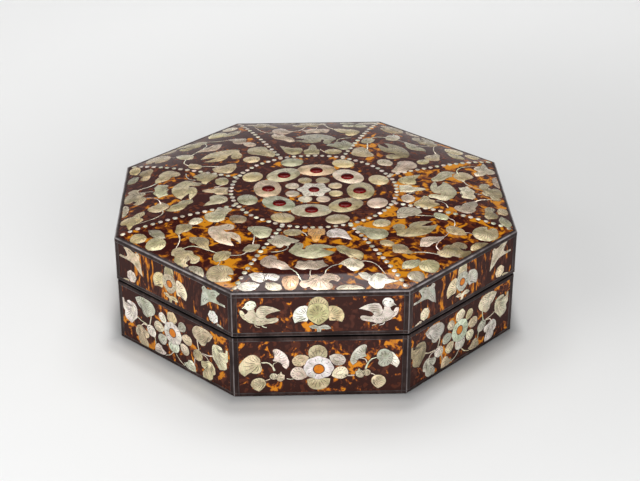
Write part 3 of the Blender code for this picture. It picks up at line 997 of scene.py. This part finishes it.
def mesh_of(name, points, faces, scale=MM):
    """A mesh from points, in millimetres unless the scale says otherwise, and faces."""
    mesh = bpy.data.meshes.new(name)
    mesh.from_pydata([[c * scale for c in p] for p in points], [], faces)
    mesh.update()
    return mesh


def gauge(x, y):
    """Distance square to the nearest side, from the middle."""
    angles = [side_angle(k) for k in range(SIDES)]
    return np.max([x * math.cos(a) + y * math.sin(a) for a in angles], axis=0)


def place_on_top(flat):
    height = dome_height(gauge(flat[:, 0], flat[:, 1])) - PLATE_INSET + flat[:, 2]
    return np.stack([flat[:, 0], flat[:, 1], height], 1)


def place_on_side(side, face, middle):
    """A function that lays flat points on a side."""
    outward = np.array(facing(side))
    along = np.array([-outward[1], outward[0], 0.0])
    upward = np.array([0.0, 0.0, 1.0])

    def place(flat):
        out = face - PLATE_INSET + flat[:, 2:3]
        return outward * out + along * flat[:, 0:1] + upward * (middle + flat[:, 1:2])
    return place


def build_top_plate(side):
    """A smooth tortoiseshell plate for one facet of the lid's top, as a thin closed piece."""
    outer = LID_FACE - TOP_STRIP_WIDTH
    rows = [outer * (1.0 - (1.0 - i / PLATE_ROWS) ** PLATE_SPREAD) for i in range(PLATE_ROWS + 1)]
    ahead_x, ahead_y, _ = facing(side)
    points = []
    for drop in (PLATE_INSET, PLATE_THICKNESS):
        for row in rows:
            half = max(PLATE_TIP_WIDTH, row * math.tan(HALF_SIDE_ANGLE) - PLATE_SEAM)
            out = max(row, PLATE_SEAM * 3.0)
            for column in range(PLATE_COLUMNS + 1):
                across = half * (2.0 * column / PLATE_COLUMNS - 1.0)
                points.append((ahead_x * out - ahead_y * across, ahead_y * out + ahead_x * across,
                               float(dome_height(out)) - drop))
    wide = PLATE_COLUMNS + 1
    layer = wide * len(rows)
    faces = []
    for i in range(PLATE_ROWS):
        for j in range(PLATE_COLUMNS):
            a = i * wide + j
            faces.append((a, a + wide, a + wide + 1, a + 1))
            faces.append((a + layer, a + 1 + layer, a + wide + 1 + layer, a + wide + layer))
    border = list(range(wide))
    border += [i * wide + PLATE_COLUMNS for i in range(1, PLATE_ROWS + 1)]
    border += [PLATE_ROWS * wide + j for j in range(PLATE_COLUMNS - 1, -1, -1)]
    border += [i * wide for i in range(PLATE_ROWS - 1, 0, -1)]
    for a, b in zip(border, border[1:] + border[:1]):
        faces.append((a, b, b + layer, a + layer))
    mesh = mesh_of(f"top_plate_{side + 1}", points, faces)
    cut = (side * 0.37, side * 0.21, PLATE_AMBER[side], 1.0)
    attribute = mesh.attributes.new("cut", "FLOAT_COLOR", "POINT")
    attribute.data.foreach_set("color", cut * len(mesh.vertices))
    return shade(link(mesh.name, mesh), 30.0)


def build_cabochon(name, x, y, radius, height):
    """A smooth dome with a rounded foot."""
    def circle(reach, z):
        angles = [2.0 * math.pi * j / DOME_SIDES for j in range(DOME_SIDES)]
        return [(x + reach * math.cos(a), y + reach * math.sin(a), z) for a in angles]

    base = float(dome_height(gauge(np.array([x]), np.array([y]))[0])) - PLATE_INSET + INLAY_LIFT
    points = []
    for i in range(DOME_ROWS):
        turn = math.pi / 2.0 * i / DOME_ROWS
        rise = base + DOME_FOOT + (height - DOME_FOOT) * math.sin(turn)
        points += circle(radius * math.cos(turn) ** 0.85, rise)
    points.append((x, y, base + height))
    foot = len(points)
    points += circle(radius, base - DOME_SINK)
    faces = [tuple(foot + j for j in range(DOME_SIDES - 1, -1, -1))]
    for j in range(DOME_SIDES):
        after = (j + 1) % DOME_SIDES
        faces.append((foot + j, foot + after, after, j))
        for i in range(DOME_ROWS - 1):
            low = i * DOME_SIDES
            faces.append((low + j, low + after, low + DOME_SIDES + after, low + DOME_SIDES + j))
        low = (DOME_ROWS - 1) * DOME_SIDES
        faces.append((low + j, low + after, foot - 1))
    return shade(link(name, mesh_of(name, points, faces)), 40.0)


def shade(thing, angle):
    """Smooth shading, with edges steeper than the angle left sharp."""
    thing.data.shade_smooth()
    thing.data.set_sharp_from_angle(angle=math.radians(angle))
    return thing


# Materials

class Look:
    """A material and the short ways this scene adds nodes to it."""

    def __init__(self, name):
        self.material = bpy.data.materials.new(name)
        self.material.use_nodes = True
        self.tree = self.material.node_tree
        self.shader = self.tree.nodes["Principled BSDF"]

    def node(self, kind, inputs=None, **settings):
        node = self.tree.nodes.new("ShaderNode" + kind)
        for key, value in settings.items():
            setattr(node, key, value)
        for key, value in (inputs or {}).items():
            self.plug(value, node.inputs[key])
        return node

    def plug(self, value, socket):
        if isinstance(value, bpy.types.NodeSocket):
            self.tree.links.new(value, socket)
        else:
            socket.default_value = value

    def set(self, **values):
        for key, value in values.items():
            self.plug(value, self.shader.inputs[key.replace("_", " ")])

    def spot(self):
        """The place of a point on the object."""
        return self.node("TexCoord").outputs["Object"]

    def own(self, name, output="Vector"):
        """A value that the mesh carries."""
        return self.node("Attribute", attribute_name=name).outputs[output]

    def split(self, vector):
        return self.node("SeparateXYZ", {"Vector": vector}).outputs

    def stretched(self, place, scale, offset=(0.0, 0.0, 0.0)):
        return self.node("Mapping", {"Vector": place, "Scale": scale, "Location": offset}).outputs[0]

    def noise(self, place, scale, detail=3.0, rough=0.5, distortion=0.0):
        node = self.node("TexNoise", {"Vector": place, "Scale": scale, "Detail": detail,
                                      "Roughness": rough, "Distortion": distortion})
        return node.outputs["Fac"]

    def ramp(self, value, *stops):
        node = self.node("ValToRGB", {"Fac": value})
        elements = node.color_ramp.elements
        while len(elements) < len(stops):
            elements.new(0.5)
        for element, (position, colour) in zip(elements, stops):
            element.position = position
            element.color = (*colour, 1.0)
        return node.outputs["Color"]

    def band(self, value, low, high, start=0.0, end=1.0):
        return self.node("MapRange", {"Value": value, "From Min": low, "From Max": high,
                                      "To Min": start, "To Max": end},
                         interpolation_type="SMOOTHSTEP").outputs["Result"]

    def mix(self, share, first, second, blend="MIX"):
        node = self.node("Mix", data_type="RGBA", blend_type=blend)
        self.plug(share, node.inputs["Factor"])
        for value, socket in ((first, node.inputs[6]), (second, node.inputs[7])):
            if isinstance(value, tuple) and len(value) == 3:
                value = (*value, 1.0)
            self.plug(value, socket)
        return node.outputs[2]

    def sum(self, first, second, how="ADD"):
        return self.node("Math", {0: first, 1: second}, operation=how).outputs[0]

    def times(self, first, second):
        return self.sum(first, second, "MULTIPLY")

    def apart(self, value, other=0.0):
        """How far a value is from another, either way."""
        return self.sum(self.sum(value, other, "SUBTRACT"), 0.0, "ABSOLUTE")

    def vector(self, how, first, second=(0.0, 0.0, 0.0), output="Vector"):
        return self.node("VectorMath", {0: first, 1: second}, operation=how).outputs[output]

    def bump(self, height, distance):
        return self.node("Bump", {"Height": height, "Distance": distance}).outputs["Normal"]

    def gap_shade(self, height, rim, foot):
        """Painted shade: one in the gap between body and lid, from the edges of two bands in
        millimetres.
        """
        return self.times(self.band(height, *[(BODY_RIM + edge) * MM for edge in rim]),
                          self.band(height, *[(LID_FOOT + edge) * MM for edge in foot], 1.0, 0.0))


def tortoiseshell_look(name, level, soft, colours, seed, gloss, stretch=(1.0, 1.0, 1.0), cut=False,
                       shares=(0.40, 0.48, 0.12)):
    """Polished tortoiseshell: crisp dark clouds and specks over clear amber."""
    look = Look(name)
    dark, brown, deep, bright = colours
    spot = look.spot()
    place = look.stretched(spot, stretch, (seed, seed * 0.7, seed * 0.3))
    if cut:
        own = look.split(look.own("cut"))
        shift = look.node("CombineXYZ", {"X": own["X"], "Y": own["Y"]}).outputs[0]
        place = look.vector("ADD", place, shift)
    broad = look.noise(place, 17.0, 2.0, 0.5, 0.4)
    middle = look.noise(place, 96.0, 3.0, 0.5, 0.7)
    fine = look.noise(place, 330.0, 2.0, 0.6)
    cloud = look.sum(look.times(broad, shares[0]), look.times(middle, shares[1]))
    cloud = look.sum(cloud, look.times(fine, shares[2]))
    if cut:
        flat = look.vector("MULTIPLY", spot, (1.0, 1.0, 0.0))
        reach = look.vector("LENGTH", flat, output="Value")
        outside = look.band(reach, MEDALLION_RADIUS * MM - 0.001, MEDALLION_RADIUS * MM)
        inside = look.times(look.sum(1.0, outside, "SUBTRACT"), MEDALLION_DARK)
        cloud = look.sum(cloud, look.sum(look.times(outside, own["Z"]), inside))
    colour = look.ramp(cloud, (level - soft * 1.4, dark), (level - soft * 0.4, brown),
                       (level + soft * 0.45, deep), (level + soft * 1.5, bright))
    speck = look.band(look.noise(place, 165.0, 1.0, 0.5, 0.4), 0.60, 0.65)
    colour = look.mix(look.times(speck, 0.9), colour, brown)
    bruise = look.band(look.noise(place, 72.0, 2.0, 0.5, 0.5), 0.60, 0.68)
    colour = look.mix(look.times(bruise, 0.3), colour, BRUISE_COLOUR)
    look.set(Base_Color=colour, Roughness=0.30, Specular_IOR_Level=0.0, Coat_Weight=gloss,
             Coat_Roughness=0.06, Coat_Normal=look.bump(look.noise(place, 15.0, 2.0), 0.00012))
    return look.material


def shell_look(name, lustre, rough, slope):
    """Mother-of-pearl: the piece's tint with drifting green and pink, growth lines and gloss."""
    look = Look(name)
    grain = look.own("grain")
    drift = look.noise(grain, 105.0, 3.0, 0.6, 1.4)
    play = look.ramp(drift, (0.30, (0.92, 1.02, 0.98)), (0.42, (0.99, 1.0, 0.96)),
                     (0.50, (1.05, 0.965, 0.985)), (0.60, (0.97, 1.02, 0.93)),
                     (0.72, (1.04, 1.0, 0.93)))
    bands = look.node("TexWave", {"Vector": grain, "Scale": 190.0, "Distortion": 10.0, "Detail": 3.0,
                                  "Detail Scale": 1.2}).outputs["Fac"]
    growth = look.ramp(bands, (0.1, (0.82, 0.82, 0.78)), (0.8, (1.06, 1.06, 1.05)))
    patches = look.ramp(look.noise(grain, 120.0, 2.0, 0.55, 0.6), (0.34, (0.66, 0.64, 0.56)),
                        (0.50, (0.98, 0.98, 0.97)), (0.64, (1.30, 1.30, 1.30)))
    colour = look.own("tint", "Color")
    for share, layer in ((lustre, play), (0.45, growth), (0.9, patches)):
        colour = look.mix(share, colour, layer, "MULTIPLY")
    stain = look.band(look.noise(grain, 420.0, 2.0, 0.6), 0.64, 0.76)
    colour = look.mix(look.times(stain, 0.35), colour, STAIN_COLOUR)
    relief = look.sum(look.noise(grain, 85.0, 2.0), look.times(bands, 0.06))
    bow = look.own("bow")
    fall = look.vector("DOT_PRODUCT", bow, bow, "Value")
    height = look.sum(look.times(relief, 0.00045), look.times(fall, slope / 2.0), "SUBTRACT")
    look.set(Base_Color=colour, Metallic=0.25, Specular_IOR_Level=0.5, Coat_Weight=0.5,
             Coat_Roughness=0.12, Normal=look.bump(height, 1.0),
             Roughness=look.band(drift, 0.3, 0.7, rough - 0.06, rough + 0.10))
    return look.material


def amber_look():
    look = Look("amber disc")
    cloud = look.band(look.noise(look.own("grain"), 260.0, 2.0), 0.50, 0.75)
    look.set(Base_Color=look.mix(cloud, look.own("tint", "Color"), DEEP_AMBER), Roughness=0.3,
             Specular_IOR_Level=0.1, Coat_Weight=0.3, Coat_Roughness=0.05)
    return look.material


def horn_look():
    """Dark strip with lighter streaks, and painted highlights: pale lines along its edges and the
    upright corners.
    """
    look = Look("horn strip")
    place = look.spot()
    streak = look.noise(look.stretched(place, (1.0, 1.0, 0.25)), 160.0, 4.0, 0.65)
    wear_and_highlight_noise = look.noise(place, 46.0, 4.0, 0.6)
    share = look.times(look.band(streak, 0.35, 0.75), look.band(wear_and_highlight_noise, 0.3, 0.75))
    colour = look.mix(share, (0.020, 0.011, 0.010), (0.100, 0.064, 0.056))
    # Painted highlight: a pale line down each upright corner below the lid's shoulder, broken up by
    # noise
    x, y, z = look.split(place)
    turns = look.sum(look.sum(y, x, "ARCTAN2"), 2.0 * math.pi / SIDES, "DIVIDE")
    from_corner = look.apart(look.sum(look.sum(turns, float(SIDES)), 1.0, "MODULO"), 0.5)
    painted_arris_highlight = look.band(from_corner, 0.0012, 0.0050, 1.0, 0.0)
    level = look.band(z, LID_SHOULDER * MM - 0.0012, LID_SHOULDER * MM, 1.0, 0.0)
    painted_arris_highlight = look.times(look.times(painted_arris_highlight, level), look.band(wear_and_highlight_noise, 0.25, 0.6, 0.15, 0.55))
    # Painted highlight: thin pale lines along the strips' edges, beside the corners and at the listed
    # heights
    edges = look.band(look.apart(from_corner, STRIP_CORNER_SHARE), 0.0004, 0.0018, 0.25, 0.0)
    for height, strength in STRIP_HIGHLIGHT_LINES:
        edge = look.band(look.apart(z, height * MM), 0.0002, 0.0006, strength, 0.0)
        edges = look.sum(edges, edge, "MAXIMUM")
    edges = look.times(edges, look.band(wear_and_highlight_noise, 0.35, 0.60, 0.25, 1.0))
    # Both painted highlights are mixed in as pale grey
    colour = look.mix(look.sum(painted_arris_highlight, edges, "MAXIMUM"), colour, HORN_HIGHLIGHT_COLOUR)
    # Painted shade: the strips turn near black at the gap between body and lid
    colour = look.mix(look.gap_shade(z, (-0.3, 0.0), (0.0, 0.3)), colour, (0.002, 0.002, 0.002))
    look.set(Base_Color=colour, Roughness=look.band(wear_and_highlight_noise, 0.3, 0.7, 0.34, 0.48),
             Specular_IOR_Level=0.10, Normal=look.bump(streak, 0.00006))
    return look.material


def line_look(name, colour):
    look = Look(name)
    look.set(Base_Color=(*colour, 1.0), Roughness=0.6)
    return look.material


def wood_look():
    look = Look("lacquered wood")
    place = look.spot()
    grain = look.noise(look.stretched(place, (0.12, 1.0, 1.0)), 190.0, 4.0, 0.6)
    colour = look.ramp(grain, (0.3, (0.022, 0.012, 0.010)), (0.7, (0.060, 0.030, 0.022)))
    # Painted shade: the wood turns near black in the gap between body and lid
    gap_shade = look.gap_shade(look.split(place)["Z"], (-0.6, -0.2), (0.3, 0.8))
    look.set(Base_Color=look.mix(gap_shade, colour, (0.003, 0.002, 0.002)), Roughness=0.45,
             Specular_IOR_Level=0.25, Normal=look.bump(grain, 0.00005))
    return look.material


def cabochon_look():
    """Deep red glass with painted light: brighter red in the half that faces the front, as if light
    gathered there.
    """
    look = Look("red cabochon")
    normal = look.node("NewGeometry").outputs["Normal"]
    front = look.vector("DOT_PRODUCT", normal, (0.0, -1.0, 0.0), "Value")
    # Painted light: dark red turning brighter red on the half whose surface faces the front (-Y)
    colour = look.mix(look.band(front, 0.0, 0.5), (0.050, 0.002, 0.002), (0.18, 0.002, 0.002))
    look.set(Base_Color=colour, Roughness=0.2, Coat_Weight=0.28, Coat_Roughness=0.02,
             Specular_IOR_Level=0.0)
    return look.material


def floor_look():
    """Pale paper with painted shade: greyer around the box and behind it, and darkest in a painted
    shadow that hugs its foot.
    """
    look = Look("backdrop")
    spot = look.spot()
    # Painted shade: greyer near the box, paler further off
    distance = look.vector("LENGTH", look.vector("ADD", spot, (-0.18, -0.20, 0.0)), output="Value")
    tone = look.ramp(look.band(distance, 0.15, 0.75), (0.0, (0.72, 0.72, 0.715)),
                     (1.0, (0.88, 0.88, 0.876)))
    # Painted shade: a little darker further behind the box
    painted_back_shade = look.band(look.split(spot)["Y"], -0.3, 0.4, 1.0, 0.935)
    # Painted shadow: darker in a narrow octagonal band round the box's foot
    reach = 0.0
    for side in range(SIDES // 2):
        across = look.vector("DOT_PRODUCT", spot, facing(side), "Value")
        reach = look.sum(reach, look.sum(across, 0.0, "ABSOLUTE"), "MAXIMUM")
    foot = BODY_FACE * MM
    painted_contact_shadow = look.band(reach, foot - 0.001, foot + 0.014, 0.64, 1.0)
    tone = look.node("VectorMath", {0: tone, "Scale": look.times(painted_back_shade, painted_contact_shadow)},
                     operation="SCALE").outputs[0]
    look.set(Base_Color=tone, Roughness=0.75, Specular_IOR_Level=0.15)
    return look.material


def wall_look():
    """Pale card behind the box with painted shade: it darkens upwards to near black, standing in for
    the dark room above.
    """
    look = Look("far card")
    height = look.split(look.spot())["Y"]
    # Painted shade: pale at the bottom, near black at the top
    tone = look.ramp(look.band(height, -0.37, 0.67), (0.0, (0.86, 0.86, 0.86)),
                     (1.0, (0.02, 0.02, 0.02)))
    look.set(Base_Color=tone, Roughness=0.8, Specular_IOR_Level=0.0)
    return look.material


def dress(thing, material):
    """Puts a piece in its finish and on the box."""
    thing.data.materials.clear()
    thing.data.materials.append(material)
    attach(thing, ROOT)
    return thing


SHELL_TOP = shell_look("shell of the top", 1.0, 0.28, 0.26)
SHELL_SIDE = shell_look("shell of the sides", 1.0, 0.26, 0.16)
TOP_LINES = line_look("engraving of the top", (0.110, 0.085, 0.052))
SIDE_LINES = line_look("engraving of the sides", (0.050, 0.036, 0.024))
AMBER = amber_look()
TOP_TORTOISE = tortoiseshell_look("tortoiseshell of the top", 0.534, 0.024,
                                  ((0.040, 0.008, 0.006), (0.115, 0.026, 0.008),
                                   (0.34, 0.105, 0.008), (0.58, 0.220, 0.010)), 3.1, 0.55,
                                  cut=True, shares=(0.38, 0.54, 0.08))
SIDE_COLOURS = ((0.040, 0.014, 0.011), (0.090, 0.026, 0.015), (0.31, 0.080, 0.014),
                (0.66, 0.235, 0.018))
SIDE_SHARES = (0.24, 0.58, 0.18)
SIDE_TORTOISE = tortoiseshell_look("tortoiseshell of the sides", 0.556, 0.024, SIDE_COLOURS, 8.6,
                                   0.22, (1.1, 1.1, 0.95), shares=SIDE_SHARES)
STREAKED_TORTOISE = tortoiseshell_look("streaked tortoiseshell", 0.534, 0.028, SIDE_COLOURS, 2.9,
                                       0.22, (1.9, 1.9, 0.55), shares=SIDE_SHARES)
HORN = horn_look()
WOOD = wood_look()
RED = cabochon_look()


def lay_inlay(name, items, place, cuts=()):
    """The shell pieces, amber discs and engraved lines of one layout. Only the top has cuts."""
    # The top's darker tints and the sides' paler ones are painted shade and light
    palette = TOP_SHELLS if cuts else SIDE_SHELLS
    for kind, material in (("shell", SHELL_TOP if cuts else SHELL_SIDE), ("amber", AMBER)):
        pieces = [item for item in items if item.kind == kind]
        if pieces:
            thing = build_inlay(f"{name}_{kind}", pieces, place, palette, cuts)
            dress(shade(thing, SHELL_SMOOTHING), material)
    lines = [item for item in items if item.kind == "line"]
    if lines:
        thing = build_lines(f"{name}_engraving", lines, place, cuts)
        dress(shade(thing, LINE_SMOOTHING), TOP_LINES if cuts else SIDE_LINES)


def unsettled(items, drift, tremor):
    """The items with the unevenness of hand cutting, the same for everything in one place."""
    start = [chance.uniform(0, 6) for _ in range(4)]
    drawn = []
    for item in items:
        points = []
        for x, y in item.points:
            points.append((x + drift * math.sin(x * 0.10 + y * 0.17 + start[0])
                           + tremor * math.sin(x * 0.9 - y * 1.1 + start[1]),
                           y + drift * math.sin(y * 0.13 - x * 0.09 + start[2])
                           + tremor * math.sin(y * 1.0 + x * 1.3 + start[3])))
        drawn.append(Item(item.kind, points, item.level, item.tint))
    return drawn


# The lid's top
hip_cuts = []
for k in range(SIDES // 2):
    hip = 2.0 * math.pi * k / SIDES + HALF_SIDE_ANGLE
    hip_cuts.append(((0.0, 0.0, 0.0), (-math.sin(hip), math.cos(hip), 0.0)))
lay_inlay("medallion", medallion(), place_on_top, hip_cuts)
for side in range(SIDES):
    cuts = []
    distance = TOP_CUT_START
    while distance < LID_FACE - TOP_STRIP_WIDTH:
        cuts.append((tuple(distance * c for c in facing(side)), facing(side)))
        distance += TOP_CUT_STEP
    design = facet_design_one(side == 0) if side % 2 == 0 else facet_design_two()
    design = unsettled(design, *TOP_UNEVENNESS)
    lay_inlay(f"facet_{side + 1}", facet_to_plan(design, side), place_on_top, cuts)
    plate = build_top_plate(side)
    dress(plate, TOP_TORTOISE)
    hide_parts(f"lid_top_plate_{side + 1}")

# The sides
lid_middle = LID_FOOT + LID_SIDE_HEIGHT / 2.0
body_middle = (BODY_FOOT + BODY_RIM) / 2.0
for side in range(SIDES):
    lid_design = lid_side_birds() if side % 2 == 0 else lid_side_flight()
    body_design = body_side_broad() if side % 2 == 0 else body_side_vine()
    lay_inlay(f"lid_side_{side + 1}", unsettled(lid_design, *SIDE_UNEVENNESS),
              place_on_side(side, LID_FACE, lid_middle))
    lay_inlay(f"body_side_{side + 1}", unsettled(body_design, *SIDE_UNEVENNESS),
              place_on_side(side, BODY_FACE, body_middle))

# Cabochons
for k in range(SIDES):
    angle = side_angle(k) + CABOCHON_RING_TURN
    x = CABOCHON_RING_RADIUS * math.cos(angle)
    y = CABOCHON_RING_RADIUS * math.sin(angle)
    dome = build_cabochon(f"dome_{k + 1}", x, y, CABOCHON_RADIUS, CABOCHON_HEIGHT)
    dress(dome, RED)
    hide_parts(f"cabochon_{k + 1}")
dome = build_cabochon("dome_centre", 0.0, 0.0, CENTRE_CABOCHON_RADIUS, CENTRE_CABOCHON_HEIGHT)
dress(dome, RED)
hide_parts("cabochon_centre")

# Finishes of the pieces that stay as constructed
for name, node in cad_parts.items():
    if "edging" in name:
        finish = HORN
        rounding = node.modifiers.new("rounding", "BEVEL")
        rounding.width = 0.0004
        rounding.segments = 2
        rounding.angle_limit = math.radians(50.0)
        rounding.harden_normals = True
    elif "side_plate" in name:
        finish = STREAKED_TORTOISE if name in STREAKED_PLATES else SIDE_TORTOISE
    elif "carcass" in name:
        finish = WOOD
    elif "top_plate" in name:
        finish = TOP_TORTOISE
    else:
        finish = RED
    node.data.materials.clear()
    node.data.materials.append(finish)


# Surroundings

def flat_panel(name, width, depth, place, tilt, material):
    corners = [(way * width / 2, rise * depth / 2, 0)
               for way, rise in ((-1, -1), (1, -1), (1, 1), (-1, 1))]
    mesh = mesh_of(name, corners, [(0, 1, 2, 3)], 1.0)
    mesh.materials.append(material)
    link(name, mesh, place, (math.radians(tilt), 0.0, 0.0))


def towards(place, aim):
    """The turn of a lamp or camera at a place that points at its aim."""
    return (Vector(aim) - Vector(place)).to_track_quat("-Z", "Y").to_euler()


def area_light(name, width, depth, place, aim, power):
    data = bpy.data.lights.new(name, "AREA")
    data.shape = "RECTANGLE"
    data.size = width
    data.size_y = depth
    data.energy = power
    link(name, data, place, towards(place, aim))


flat_panel("floor", 8.0, 8.0, (0.0, 0.0, -0.0004), 0.0, floor_look())
flat_panel("far wall", 5.9, 1.41, (0.0, 2.0, 0.705), 90.0, wall_look())

area_light("overhead", 2.0, 1.1, (0.0, 1.15, 2.0), (0.0, 1.15, 0.0), 25.0)
area_light("sparkle", 0.28, 0.28, (0.05, 0.30, 2.1), (0.0, 0.0, 0.1), 11.0)
area_light("left window", 1.2, 1.2, (-1.9, -1.2, 1.4), (0.0, 0.0, 0.05), 20.0)
area_light("front fill", 2.4, 1.0, (0.4, -2.4, 1.3), (0.0, 0.0, 0.05), 52.0)

world = bpy.data.worlds.new("studio")
bpy.context.scene.world = world
world.use_nodes = True
background = world.node_tree.nodes["Background"]
background.inputs["Color"].default_value = SKY_COLOUR
background.inputs["Strength"].default_value = SKY_STRENGTH

camera_data = bpy.data.cameras.new("camera")
camera_data.sensor_width = SENSOR
camera_data.lens = LENS
bpy.context.scene.camera = link("camera", camera_data, CAMERA_PLACE,
                                towards(CAMERA_PLACE, CAMERA_AIM))
bpy.context.scene.view_settings.view_transform = "Standard"
